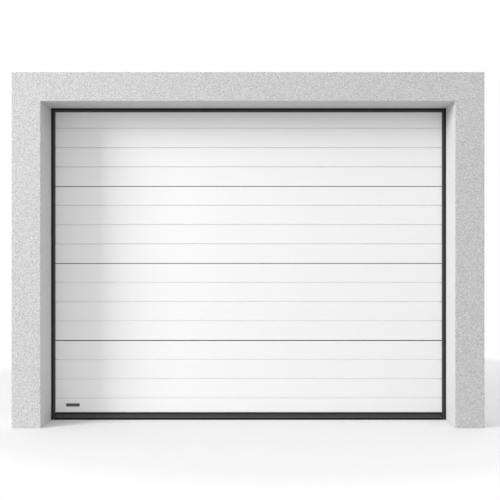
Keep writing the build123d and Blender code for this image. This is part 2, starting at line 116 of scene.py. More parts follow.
def grain(points: np.ndarray, size: float, seed: int) -> np.ndarray:
    """Smooth random heights with about one hump to each size.

    Random numbers stand at the corners of a cubic lattice, and between them the value is blended
    by 3t^2 - 2t^3 along each axis.

    Args:
        points: places to work it out at, last axis x, y, z in millimetres.
        size: side of a lattice cell, in millimetres.
        seed: which lattice of random numbers.

    Returns:
        A height from -1 to 1 for each point.
    """
    side = 48
    lattice = np.random.default_rng(seed).uniform(-1, 1, (side, side, side))
    cell = points / size
    base = np.floor(cell).astype(int)
    part = cell - base
    part = part * part * (3 - 2 * part)
    height = np.zeros(points.shape[:-1])
    for corner in np.ndindex(2, 2, 2):
        weight = np.prod(np.where(corner, part, 1 - part), axis=-1)
        i, j, k = np.moveaxis((base + corner) % side, -1, 0)
        height += weight * lattice[i, j, k]
    return height


def closed(grid: np.ndarray) -> np.ndarray:
    """Adds a pole at each end of a grid of rings.

    Args:
        grid: rings of points, shape (rows, columns, 3).

    Returns:
        The grid with one more row at each end, all of it at that ring's middle.
    """
    first, last = (np.broadcast_to(end.mean(axis=0), (1, *end.shape)) for end in (grid[0], grid[-1]))
    return np.concatenate([first, grid, last])


def turned(outline: Profile, steps: int, flats: int = 0) -> np.ndarray:
    """Outline turned about the z axis.

    A point at height z and radius r goes to (r k cos a, r k sin a, z) at each angle a. k is 1 for a
    round shape. With flats it is 1 / cos(a - the middle of the nearest flat), which makes a prism.

    Args:
        outline: (radius, height) from one end to the other.
        steps: points in each ring.
        flats: sides of the prism, or 0 for a round shape.

    Returns:
        Rings of points, shape (rows, steps, 3).
    """
    radius, height = np.array(outline, float).T[..., None, None]
    angle = np.arange(steps) * 2 * np.pi / steps
    stretch = np.ones(steps)
    if flats:
        sector = 2 * np.pi / flats
        stretch = 1 / np.cos((angle + sector / 2) % sector - sector / 2)
    flat = radius * np.stack([np.cos(angle) * stretch, np.sin(angle) * stretch], axis=-1)
    return np.concatenate([flat, height + 0 * flat[..., :1]], axis=-1)


def tube(path: np.ndarray, radius: float | np.ndarray, steps: int) -> np.ndarray:
    """Round or oval tube carried along a path.

    Each ring is the path's point plus radius times (cos a first + sin a second), where first and
    second are square to the path there.

    Args:
        path: points of the centre line, shape (n, 3).
        radius: of the tube, or its factors in a shape that fits the rings.
        steps: points in each ring.

    Returns:
        Rings of points, shape (n, steps, 3).
    """
    run = np.gradient(path, axis=0)
    run /= np.linalg.norm(run, axis=1, keepdims=True)
    helper = np.where(np.abs(run[:, :1]) < ALONG_X, [[1.0, 0.0, 0.0]], [[0.0, 1.0, 0.0]])
    first = np.cross(run, helper)
    first /= np.linalg.norm(first, axis=1, keepdims=True)
    second = np.cross(run, first)
    angle = np.arange(steps)[:, None] * 2 * np.pi / steps
    spokes = np.cos(angle) * first[:, None] + np.sin(angle) * second[:, None]
    return path[:, None] + radius * spokes


def rounded_box(half: Pair, radius: float, levels: Profile) -> np.ndarray:
    """Plate with rounded corners, as rings of one outline drawn in by an inset at each height.

    The outline is a quarter circle about each corner's centre, and an inset pulls it in square to
    itself, which shortens the radius.

    Args:
        half: half the plate's width and half its height.
        radius: of the corners in plan.
        levels: (height, inset) of each ring.

    Returns:
        Rings of points, shape (rows, columns, 3), in the x, y plane with height along z.
    """
    height, inset = np.array(levels, float).T[..., None, None]
    angle = np.linspace(0, np.pi / 2, CORNER_STEPS)
    corner_sign = np.array([(1, 1), (-1, 1), (-1, -1), (1, -1)])
    centre = np.repeat(corner_sign * (np.array(half) - radius), len(angle), axis=0)
    turn = (angle[None, :] + np.arange(4)[:, None] * np.pi / 2).ravel()
    flat = centre + (radius - inset) * np.stack([np.cos(turn), np.sin(turn)], axis=-1)
    return np.concatenate([flat, height + 0 * flat[..., :1]], axis=-1)


@dataclass
class Surface:
    """Points and faces of one piece, gathered grid by grid."""

    points: list[np.ndarray] = field(default_factory=list)
    faces: list[np.ndarray] = field(default_factory=list)
    count: int = 0

    def add(
        self, grid: np.ndarray, places: ArrayLike = ((0, 0, 0),), facing: Facing = Facing.UP
    ) -> "Surface":
        """Adds a grid of rings as four-sided faces, at one place or at many.

        Face (i, j) joins the points (i, j), (i, j + 1), (i + 1, j + 1) and (i + 1, j), and the last
        column joins the first. A copy's point is its place plus the grid's point times its turn.

        Args:
            grid: points in millimetres, shape (rows, columns, 3).
            places: where the copies stand, shape (n, 3).
            facing: the copies' turn.

        Returns:
            The same surface.
        """
        places = np.array(places, float)
        rows, columns = grid.shape[:2]
        index = np.arange(rows * columns).reshape(rows, columns)
        index = np.hstack([index, index[:, :1]])
        corners = [index[:-1, :-1], index[:-1, 1:], index[1:, 1:], index[1:, :-1]]
        quads = np.stack(corners, axis=-1).reshape(-1, 4)
        starts = self.count + np.arange(len(places)) * rows * columns
        self.faces.append((quads[None] + starts[:, None, None]).reshape(-1, 4))
        moved = grid @ np.array(facing.value, float) + places[:, None, None]
        self.points.append(moved.reshape(-1, 3))
        self.count += len(places) * rows * columns
        return self

    def piece(self, name: str, finish: "Finish", slot: str, replaces: tuple[str, ...] = ()) -> None:
        """Makes the mesh, closes its seams and poles and puts it in the frame.

        Args:
            name: the piece's name.
            finish: what it is made of.
            slot: the record's slot that the finish belongs to; not used.
            replaces: nodes of the frame that it stands for.
        """
        mesh = bpy.data.meshes.new(name)
        mesh.from_pydata(np.concatenate(self.points) * MM, [], np.concatenate(self.faces).tolist())
        work = bmesh.new()
        work.from_mesh(mesh)
        bmesh.ops.remove_doubles(work, verts=work.verts, dist=MERGE_DISTANCE * MM)
        bmesh.ops.dissolve_degenerate(work, edges=work.edges, dist=SHORTEST_EDGE * MM)
        bmesh.ops.recalc_face_normals(work, faces=work.faces)
        work.to_mesh(mesh)
        work.free()
        mesh.polygons.foreach_set("use_smooth", np.ones(len(mesh.polygons), bool))
        mesh.set_sharp_from_angle(angle=np.radians(SHARP_ANGLE))
        mesh.materials.append(finish.material())
        made = bpy.data.objects.new(name, mesh)
        bpy.context.scene.collection.objects.link(made)
        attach(made, "root")
        if replaces:
            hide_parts(*replaces)
        log.info("%s: %d faces", name, len(mesh.polygons))


# Materials


def linear(code: str) -> tuple[float, float, float, float]:
    """Linear colour of an sRGB hex code.

    Args:
        code: such as "#d0d0ce".

    Returns:
        Red, green, blue and an alpha of 1.
    """
    channel = np.array([int(code[n : n + 2], 16) for n in (1, 3, 5)]) / 255
    value = np.where(channel <= 0.04045, channel / 12.92, ((channel + 0.055) / 1.055) ** 2.4)
    return (*value.tolist(), 1.0)


@dataclass
class Nodes:
    """The nodes of a material or of the world, and short ways to add to them."""

    tree: bpy.types.NodeTree

    def add_node(
        self, kind: str, settings: dict | None = None, inputs: dict | None = None
    ) -> bpy.types.Node:
        """Adds a node with its settings and links.

        Args:
            kind: the node's type.
            settings: its own properties.
            inputs: for each input's name or number, a value, a hex colour or the socket that feeds it.

        Returns:
            The new node.
        """
        node = self.tree.nodes.new(kind)
        for name, value in (settings or {}).items():
            setattr(node, name, value)
        self.feed(node, inputs or {})
        return node

    def feed(self, node: bpy.types.Node, inputs: dict) -> None:
        """Gives a node its inputs.

        Args:
            node: which one.
            inputs: as in add_node.
        """
        for name, value in inputs.items():
            if isinstance(value, Socket):
                self.tree.links.new(value, node.inputs[name])
            else:
                node.inputs[name].default_value = linear(value) if isinstance(value, str) else value

    @cached_property
    def place(self) -> Socket:
        """The point's place on the object, in metres."""
        return self.add_node("ShaderNodeTexCoord").outputs["Object"]

    @cached_property
    def axis(self) -> list[Socket]:
        """The place's x, y and z."""
        return list(self.add_node("ShaderNodeSeparateXYZ", None, {0: self.place}).outputs)

    def maths(self, operation: str, *values: Socket) -> Socket:
        """Result of one arithmetic operation.

        Args:
            operation: its name, such as "ADD".
            values: what it works on.

        Returns:
            The result's socket.
        """
        return self.add_node("ShaderNodeMath", {"operation": operation}, dict(enumerate(values))).outputs[0]

    def mix(self, share: Socket, low: Socket | str, high: Socket | str) -> Socket:
        """Colour between two others.

        Args:
            share: how much of the second one shows.
            low: the first one.
            high: the second one.

        Returns:
            The colour's socket.
        """
        return self.add_node("ShaderNodeMixRGB", None, {0: share, 1: low, 2: high}).outputs[0]

    def spread(
        self, value: Socket, source: Pair, target: Pair = (0.0, 1.0), unit: float = 1.0
    ) -> Socket:
        """A value moved from one range to another, and held at its ends.

        Args:
            value: what to move.
            source: the range that it comes from.
            target: the range that it goes to.
            unit: of the source, MM for places.

        Returns:
            The moved value.
        """
        inputs = {"Value": value, 1: source[0] * unit, 2: source[1] * unit, 3: target[0], 4: target[1]}
        return self.add_node("ShaderNodeMapRange", None, inputs).outputs[0]

    def noise(self, size: float, detail: float = 2.0) -> Socket:
        """Cloudy noise with features of one size.

        Args:
            size: of a feature, in millimetres.
            detail: how many finer layers lie on it.

        Returns:
            The noise's value, about 0.5 in the mean.
        """
        inputs = {"Vector": self.place, "Scale": 1 / (size * MM), "Detail": detail}
        return self.add_node("ShaderNodeTexNoise", None, inputs).outputs[0]

    def blend(self, value: Socket, low: str, high: str, ends: Pair = NOISE_ENDS) -> Socket:
        """Colour that goes from one tone to another with a value.

        Args:
            value: what it follows.
            low: hex colour at the lower end.
            high: hex colour at the upper end.
            ends: values at the two ends.

        Returns:
            The colour's socket.
        """
        ramp = self.add_node("ShaderNodeValToRGB", None, {"Fac": value})
        for stop, place, code in zip(ramp.color_ramp.elements, ends, (low, high)):
            stop.position = place
            stop.color = linear(code)
        return ramp.outputs["Color"]

    def relief(
        self, height: Socket, depth: float, strength: float | Socket = 1.0, under: Socket | None = None
    ) -> Socket:
        """Bump from a height between 0 and 1.

        Args:
            height: the height's value.
            depth: in millimetres, of a whole step of the value.
            strength: share of the relief that shows.
            under: a normal that it lies on.

        Returns:
            The normal's socket.
        """
        inputs = {"Height": height, "Distance": depth * MM, "Strength": strength}
        if under:
            inputs["Normal"] = under
        return self.add_node("ShaderNodeBump", None, inputs).outputs["Normal"]


@dataclass(frozen=True)
class Finish:
    """What every finish has: a name, a colour and a gloss."""

    name: str
    colour: str
    roughness: float
    metallic: float = 0.0
    specular: float = 0.5
    gloss_swing: float = 0.05

    def pattern(self, nodes: Nodes) -> dict[str, Socket]:
        """Nodes that vary the surface.

        Args:
            nodes: the material's nodes.

        Returns:
            Sockets for the shader's inputs, by name.
        """
        return {}

    def gloss(self, nodes: Nodes, value: Socket, ends: Pair = NOISE_ENDS) -> Socket:
        """Roughness that swings about the finish's own.

        Args:
            nodes: the material's nodes.
            value: what it follows.
            ends: values at the two ends of the swing.

        Returns:
            The roughness's socket.
        """
        swing = self.gloss_swing
        return nodes.spread(value, ends, (self.roughness - swing, self.roughness + swing))

    def material(self) -> bpy.types.Material:
        """The finish as a material, made once and then shared."""
        found = bpy.data.materials.get(self.name)
        if found:
            return found
        made = bpy.data.materials.new(self.name)
        made.use_nodes = True
        nodes = Nodes(made.node_tree)
        shader = nodes.tree.nodes["Principled BSDF"]
        nodes.feed(shader, {"Base Color": self.colour, "Roughness": self.roughness})
        nodes.feed(shader, {"Metallic": self.metallic, "Specular IOR Level": self.specular})
        nodes.feed(shader, self.pattern(nodes))
        return made


@dataclass(frozen=True)
class SpatterPlaster(Finish):
    """Mineral render thrown on and left: the eye sees matt grains that catch the light one by one."""

    dark: str = "#b1b1b1"
    tone_ends: Pair = (0.35, 0.65)
    floated: str = "#d1d1d1"
    turn_in: Pair = (-278.0, -269.0)
    grain_size: float = 5.8
    grain_depth: float = 3.6
    sand_size: float = 2.6
    sand_depth: float = 0.5
    smooth_share: float = 0.3

    def pattern(self, nodes: Nodes) -> dict[str, Socket]:
        """Coarse grains on the face, a floated finish in the reveals, sand everywhere."""
        share = nodes.spread(nodes.axis[1], self.turn_in, (1.0, self.smooth_share), MM)
        rough = nodes.spread(nodes.axis[1], self.turn_in, (1.0, 0.0), MM)
        grains = nodes.noise(self.grain_size, 1.0)
        # the colour follows the bump's noise, so the grains' hollows are darker: painted shade over the
        # spatter's own grey tones
        spatter = nodes.blend(grains, self.dark, self.colour, self.tone_ends)
        coarse = nodes.relief(grains, self.grain_depth, share)
        return {
            "Base Color": nodes.mix(rough, self.floated, spatter),
            "Normal": nodes.relief(nodes.noise(self.sand_size), self.sand_depth, 1.0, coarse),
        }


@dataclass(frozen=True)
class CoilCoatedSteel(Finish):
    """Polyester-coated steel skin: satin and even in front, rolled with a stucco pattern behind.

    Below either skin, in the grooves, joints and ends, the colour is painted shade, a little darker in
    the upper grooves, and painted light in the lower ones, a little whiter than the face.
    """

    gloss_swing: float = 0.03
    cloud_size: float = 160.0
    painted_groove_shade: str = "#e8e8e8"
    painted_groove_light: str = "#f3f3f3"
    groove_shade_heights: Pair = (700.0, 2000.0)
    skin: Pair = (19.5, 20.5)
    peel_size: float = 9.0
    peel_depth: float = 0.05
    stucco: Pair = (18.0, 19.0)
    stucco_size: float = 7.0
    stucco_depth: float = 0.45
    stucco_smoothness: float = 0.6

    def pattern(self, nodes: Nodes) -> dict[str, Socket]:
        """Faint paint waves in front, pebbled stucco behind, painted shade high and light low below either
        skin.
        """
        back = nodes.spread(nodes.axis[1], self.stucco, unit=MM)
        below = nodes.spread(nodes.maths("ABSOLUTE", nodes.axis[1]), self.skin, (1.0, 0.0), MM)
        height = nodes.spread(nodes.axis[2], self.groove_shade_heights, unit=MM)
        # painted shade in the upper grooves, turning to painted light in the lower ones
        groove = nodes.blend(height, self.painted_groove_light, self.painted_groove_shade, (0.0, 1.0))
        inputs = {"Vector": nodes.place, "Scale": 1 / (self.stucco_size * MM)}
        inputs["Smoothness"] = self.stucco_smoothness
        cells = nodes.add_node("ShaderNodeTexVoronoi", {"feature": "SMOOTH_F1"}, inputs)
        waves = nodes.relief(nodes.noise(self.peel_size), self.peel_depth)
        return {
            "Base Color": nodes.mix(below, self.colour, groove),
            "Normal": nodes.relief(cells.outputs["Distance"], self.stucco_depth, back, waves),
            "Roughness": self.gloss(nodes, nodes.noise(self.cloud_size)),
        }


@dataclass(frozen=True)
class PowderCoat(Finish):
    """Baked powder on steel: even colour with a fine orange peel."""

    cloud_size: float = 90.0
    peel_size: float = 3.0
    peel_depth: float = 0.08

    def pattern(self, nodes: Nodes) -> dict[str, Socket]:
        """Orange peel, and a gloss that varies a little."""
        return {
            "Normal": nodes.relief(nodes.noise(self.peel_size), self.peel_depth),
            "Roughness": self.gloss(nodes, nodes.noise(self.cloud_size)),
        }


@dataclass(frozen=True)
class GalvanizedSheet(Finish):
    """Hot-dip zinc: crystals called spangle, each its own tone and gloss, under a light bloom."""

    gloss_swing: float = 0.08
    dark: str = "#a6abae"
    tone_ends: Pair = (0.35, 1.0)
    spangle_size: float = 8.0
    spangle_depth: float = 0.03
    cloud_size: float = 30.0

    def pattern(self, nodes: Nodes) -> dict[str, Socket]:
        """One tone to each crystal, clouded by fine noise."""
        inputs = {"Vector": nodes.place, "Scale": 1 / (self.spangle_size * MM)}
        crystals = nodes.add_node("ShaderNodeTexVoronoi", None, inputs).outputs["Color"]
        tone = nodes.add_node("ShaderNodeSeparateColor", None, {0: crystals}).outputs
        clouded = nodes.maths("ADD", tone[0], nodes.noise(self.cloud_size, 4.0))
        return {
            "Base Color": nodes.blend(clouded, self.dark, self.colour, self.tone_ends),
            "Roughness": self.gloss(nodes, tone[1], (0.0, 1.0)),
            "Normal": nodes.relief(tone[2], self.spangle_depth),
        }


@dataclass(frozen=True)
class PlatedMetal(Finish):
    """Zinc plate, wire or a casting: one tone with a fine grain in tone, gloss and height."""

    gloss_swing: float = 0.07
    dark: str = "#a0a0a0"
    grain_size: float = 3.0
    grain_depth: float = 0.03

    def pattern(self, nodes: Nodes) -> dict[str, Socket]:
        """A fine grain, and clouds of tone ten times as large."""
        fine = nodes.noise(self.grain_size, 3.0)
        cloud = nodes.noise(self.grain_size * 10, 3.0)
        return {
            "Base Color": nodes.blend(cloud, self.dark, self.colour),
            "Roughness": self.gloss(nodes, fine),
            "Normal": nodes.relief(fine, self.grain_depth),
        }


@dataclass(frozen=True)
class Weatherstrip(Finish):
    """Extruded rubber: a dense black strip, and an inner lip greyer partly by grade, partly by painted
    sheen.
    """

    gloss_swing: float = 0.06
    lip_grade_and_sheen: str = "#484848"
    lip_side: Pair = (1267.7, 1268.2)
    lip_head: Pair = (2004.7, 2005.2)
    skin_size: float = 4.0
    skin_depth: float = 0.05

    def pattern(self, nodes: Nodes) -> dict[str, Socket]:
        """The lip is inside its two limits, and the strip outside either."""
        beside = nodes.spread(nodes.maths("ABSOLUTE", nodes.axis[0]), self.lip_side, unit=MM)
        above = nodes.spread(nodes.axis[2], self.lip_head, unit=MM)
        strip = nodes.maths("MAXIMUM", beside, above)
        skin = nodes.noise(self.skin_size, 3.0)
        return {
            # the lip's grey is partly a softer rubber grade and partly painted sheen
            "Base Color": nodes.blend(strip, self.lip_grade_and_sheen, self.colour, (0.0, 1.0)),
            "Roughness": self.gloss(nodes, skin),
            "Normal": nodes.relief(skin, self.skin_depth),
        }


@dataclass(frozen=True)
class MouldedPlastic(Finish):
    """Moulded nylon or rubber: even colour, slightly cloudy, with a soft skin."""

    dark: str = "#d6d2c6"
    cloud_size: float = 12.0
    skin_size: float = 2.0
    skin_depth: float = 0.04

    def pattern(self, nodes: Nodes) -> dict[str, Socket]:
        """Cloudy tone and a skin that is barely rough."""
        return {
            "Base Color": nodes.blend(nodes.noise(self.cloud_size, 3.0), self.dark, self.colour),
            "Normal": nodes.relief(nodes.noise(self.skin_size), self.skin_depth),
        }


@dataclass(frozen=True)
class EdgeExtrusion(MouldedPlastic):
    """Extruded profile: a dense black web and a greyer foot, its lighter colour a painted highlight."""

    foot: str = "#5e5e5e"
    highlight_top: Pair = (13.0, 13.5)

    def pattern(self, nodes: Nodes) -> dict[str, Socket]:
        """The moulded skin, with the foot's lighter colour, a painted highlight, below its top."""
        sockets = super().pattern(nodes)
        # painted highlight: the foot below its top is lighter than the web
        share = nodes.spread(nodes.axis[2], self.highlight_top, (1.0, 0.0), MM)
        sockets["Base Color"] = nodes.mix(share, sockets["Base Color"], self.foot)
        return sockets


PLASTER = SpatterPlaster("spatter_plaster", "#dbdbdb", 0.95, specular=0.2)
SECTION_STEEL = CoilCoatedSteel("coil_coated_steel", "#efefef", 0.4)
FRAME_STEEL = PowderCoat("powder_coated_steel", "#ebebe9", 0.45)
GALVANIZED = GalvanizedSheet("galvanized_sheet", "#c3c7c9", 0.42, 1.0)
ZINC_PLATE = PlatedMetal("zinc_plate", "#cfd2d0", 0.3, 1.0, dark="#b4b7b8")
SPRING_WIRE = PlatedMetal("oil_tempered_wire", "#56595c", 0.36, 1.0, dark="#3f4244")
CAST_ALLOY = PlatedMetal(
    "cast_alloy", "#b2b4b6", 0.48, 1.0, dark="#989a9c", grain_size=1.6, grain_depth=0.12
)
RUBBER = Weatherstrip("weatherstrip_rubber", "#171717", 0.62, specular=0.25)
EDGE_PROFILE = EdgeExtrusion("black_edge_profile", "#404040", 0.5, specular=0.3, dark="#383838")
SOFT_RUBBER = MouldedPlastic("soft_black_rubber", "#191919", 0.7, specular=0.2, dark="#141414")
JOINT_RUBBER = MouldedPlastic("grey_joint_rubber", "#414141", 0.7, specular=0.2, dark="#3a3a3a")
NYLON = MouldedPlastic("moulded_nylon", "#e4e1d7", 0.42)
BADGE_METAL = PlatedMetal("dark_anodised_plate", "#5c5f63", 0.4, 0.6, dark="#515458", grain_size=1.2)

SLOT_FINISHES = {
    "plaster": PLASTER,
    "section_steel": SECTION_STEEL,
    "frame_steel": FRAME_STEEL,
    "galvanized_steel": GALVANIZED,
    "zinc_plated_steel": ZINC_PLATE,
    "spring_steel": SPRING_WIRE,
    "cast_alloy": CAST_ALLOY,
    "black_rubber": RUBBER,
    "nylon": NYLON,
}
NODE_FINISHES = {"bottom_retainer": EDGE_PROFILE, "bottom_seal": SOFT_RUBBER}


def dress_frame(frame: dict) -> None:
    """Gives every piece of the frame the finish of its slot.
    """
    for part in frame["record"]["subparts"]:
        finish = NODE_FINISHES.get(part["node"], SLOT_FINISHES[part["material_slot"]])
        mesh = frame["nodes"][part["node"]].data
        mesh.materials.clear()
        mesh.materials.append(finish.material())
        log.info("%s: %s", part["node"], finish.name)


# Sub-assemblies


@dataclass
class PlasteredPortal:
    """Coat of plaster over the two piers and the lintel, in one piece as it is thrown on."""

    arris: float = 2.0
    arris_steps: int = 4
    grain_size: float = 9.0
    grain_seeds: tuple[int, int] = (5, 6)
    fine_share: float = 0.5
    grain_height: float = 0.45
    smooth_height: float = 0.15
    face_step: float = 6.6
    reveal_step: float = 10.0
    hidden_step: float = 15.0

    def outline(self, width: float, front: float, back: float) -> tuple[np.ndarray, np.ndarray]:
        """Section of a pier: a rectangle with small round arrises.

        Args:
            width: across the pier.
            front: y of its front face.
            back: y of its back face.

        Returns:
            Points (u, y), with u from the doorway outwards, and the unit normal at each.
        """
        depth = back - front
        sides = (
            (width, self.face_step, (0, front), (1, 0), (0, -1)),
            (depth, self.hidden_step, (width, front), (0, 1), (1, 0)),
            (width, self.hidden_step, (width, back), (-1, 0), (0, 1)),
            (depth, self.reveal_step, (0, back), (0, -1), (-1, 0)),
        )
        points, normals = [], []
        for length, step, *vectors in sides:
            start, run, out = np.array(vectors, float)
            reach = np.linspace(self.arris, length - self.arris, max(int(length / step), 2))
            turn = np.linspace(0, np.pi / 2, self.arris_steps)[1:-1, None]
            spoke = np.cos(turn) * out + np.sin(turn) * run
            centre = start + (length - self.arris) * run - self.arris * out
            points += [start + reach[:, None] * run, centre + self.arris * spoke]
            normals += [np.broadcast_to(out, (len(reach), 2)), spoke]
        return np.concatenate(points), np.concatenate(normals)

    def build(self) -> None:
        """Carries the section up one pier, along the lintel and down the other.

        The section's u runs outwards from the doorway, so at a share f of each leg the point is
        (-(a + u), y, f (h + u)), then ((2 f - 1)(a + u), y, h + u), then (a + u, y, (1 - f)(h + u)),
        where a is half the doorway and h its height. That mitres the corners. Grains push each
        point out along its normal.
        """
        low, high = node_box("right_pier")
        half, height = low[0], high[2]
        outline, normal = self.outline(high[0] - low[0], low[1], high[1])
        u, y = outline[None, :, 0], outline[None, :, 1]
        rise = np.linspace(0, 1, int(height / self.face_step))[:, None]
        run = np.linspace(0, 1, int(2 * half / self.face_step))[1:-1, None]
        left = np.stack([-(half + u) + 0 * rise, y + 0 * rise, rise * (height + u)], axis=-1)
        top = np.stack([(2 * run - 1) * (half + u), y + 0 * run, height + u + 0 * run], axis=-1)
        grid = np.concatenate([left, top, left[::-1] * [-1, 1, 1]])

        sweep = np.zeros((len(grid), 3))
        sweep[: len(rise), 0] = -1
        sweep[len(rise) : -len(rise), 2] = 1
        sweep[-len(rise) :, 0] = 1
        out = normal[None, :, :1] * sweep[:, None] + normal[None, :, 1:] * np.array([0, 1, 0])
        face_share = np.clip(-normal[:, 1], 0, 1)
        size = self.smooth_height + (self.grain_height - self.smooth_height) * face_share
        first, second = self.grain_seeds
        coarse = grain(grid, self.grain_size, first)
        coarse += self.fine_share * grain(grid, self.grain_size / 2, second)
        coat = Surface().add(closed(grid + out * (size[None, :] * coarse)[..., None]))
        coat.piece("portal_plaster", PLASTER, "plaster", ("left_pier", "right_pier", "lintel"))


@dataclass
class LeafTrim:
    """What is fixed on the leaf: rubber beads, edge and plugs, a bare plate, rivets in the end caps."""

    gasket_height: float = 5.0
    gasket_thickness: float = 2.0
    gasket_depths: tuple[float, ...] = (0.2, 2.0, 2.0)
    edge_bead_radius: float = 4.4
    edge_bead_sink: float = 0.2
    edge_bead_drop: float = 3.0
    edge_face: float = 3.0
    feather: Profile = ((1.0, 0.1), (1.0, 1.9), (-4.0, 0.8), (-4.0, 0.1))
    feather_gap: float = 1.0
    plug_half: Pair = (20.0, 19.0)
    plug_corner: float = 3.0
    plug_levels: Profile = ((0, 0), (2.3, 0), (2.8, 0.5))
    plug_insets: Pair = (0.5, 1.5)
    plate_middle: Pair = (-1141.0, 91.5)
    plate_half: Pair = (44.0, 10.0)
    plate_corner: float = 5.0
    plate_levels: Profile = ((0, 0), (1.4, 0), (2.0, 0.4), (2.2, 1.4))
    rivet: Profile = ((4.2, 0), (4.2, 0.5), (3.4, 1.2), (1.6, 1.7))
    rivet_inset: float = 8.0
    rivet_ends: Pair = (70.0, 430.0)
    rivets_per_cap: int = 4

    def gaskets(self) -> None:
        """Oval bead in each joint, from end to end, which bulges out of the lowest joint the most."""
        half = np.array([1, self.gasket_thickness / 2, self.gasket_height / 2])
        beads = Surface()
        for index, depth in zip((2, 3, 4), self.gasket_depths):
            low, high = node_box(f"leaf_section_{index}")
            path = np.linspace(low, high, 3)
            path[:, 1:] = low[1] + depth, low[2] - SECTION_GAP / 2
            beads.add(closed(tube(path, half, steps=20)))
        beads.piece("joint_gaskets", JOINT_RUBBER, "black_rubber")

    def edge_bead(self) -> None:
        """Round black bead, half sunk in the bottom retainer's face near its upper edge."""
        low, high = node_box("bottom_retainer")
        face = node_box("leaf_section_1")[0][1] - self.edge_face
        path = np.linspace(low, high, 3)
        path[:, 1:] = face + self.edge_bead_radius * self.edge_bead_sink, high[2] - self.edge_bead_drop
        bead = Surface().add(closed(tube(path, self.edge_bead_radius, steps=16)))
        bead.piece("retainer_bead", SOFT_RUBBER, "black_rubber")

    def feather_edge(self) -> None:
        """Thin edge in front of the bottom seal's lip, tapered down, from reveal to reveal: painted shadow.
        """
        front = node_box("bottom_seal")[0][1]
        reach = node_box("right_side_seal")[1][0] - self.feather_gap
        rings = [[(x, front + y, z) for y, z in self.feather] for x in (-reach, reach)]
        edge = Surface().add(closed(np.array(rings)))
        edge.piece("painted_contact_shadow", SOFT_RUBBER, "black_rubber")

    def edge_plugs(self) -> None:
        """Rubber plugs that close the bottom retainer's ends, up to the side seals' lips."""
        low, high = node_box("bottom_retainer")
        y = low[1] + self.plug_half[0] + self.plug_insets[0]
        z = high[2] - self.plug_half[1] - self.plug_insets[1]
        rings = rounded_box(self.plug_half, self.plug_corner, self.plug_levels)
        plugs = Surface()
        for sign in SIDES.values():
            plugs.add(closed(rings), [(sign * high[0], y, z)], Facing.sideways(sign))
        plugs.piece("retainer_plugs", SOFT_RUBBER, "black_rubber")

    def plate(self) -> None:
        """Bare plate low on the left, a shallow pillow with rounded corners."""
        x, z = self.plate_middle
        face = node_box("leaf_section_1")[0][1]
        rings = rounded_box(self.plate_half, self.plate_corner, self.plate_levels)
        plate = Surface().add(closed(rings), [(x, face, z)], Facing.FRONT)
        plate.piece("bare_plate", BADGE_METAL, "zinc_plated_steel")

    def rivets(self) -> None:
        """Domed rivets down the inner edge of each end cap's leg."""
        low, high = node_box("right_end_caps")
        x, y = low[0] + self.rivet_inset, high[1]
        dome = closed(turned(self.rivet, steps=12))
        heads = Surface()
        for sign in SIDES.values():
            for index in (1, 2, 3, 4):
                foot = node_box(f"leaf_section_{index}")[0][2]
                heights = foot + np.linspace(*self.rivet_ends, self.rivets_per_cap)
                heads.add(dome, [(sign * x, y, z) for z in heights], Facing.BACK)
        heads.piece("cap_rivets", ZINC_PLATE, "zinc_plated_steel")

    def build(self) -> None:
        """Makes all of it."""
        self.gaskets()
        self.edge_bead()
        self.feather_edge()
        self.edge_plugs()
        self.plate()
        self.rivets()


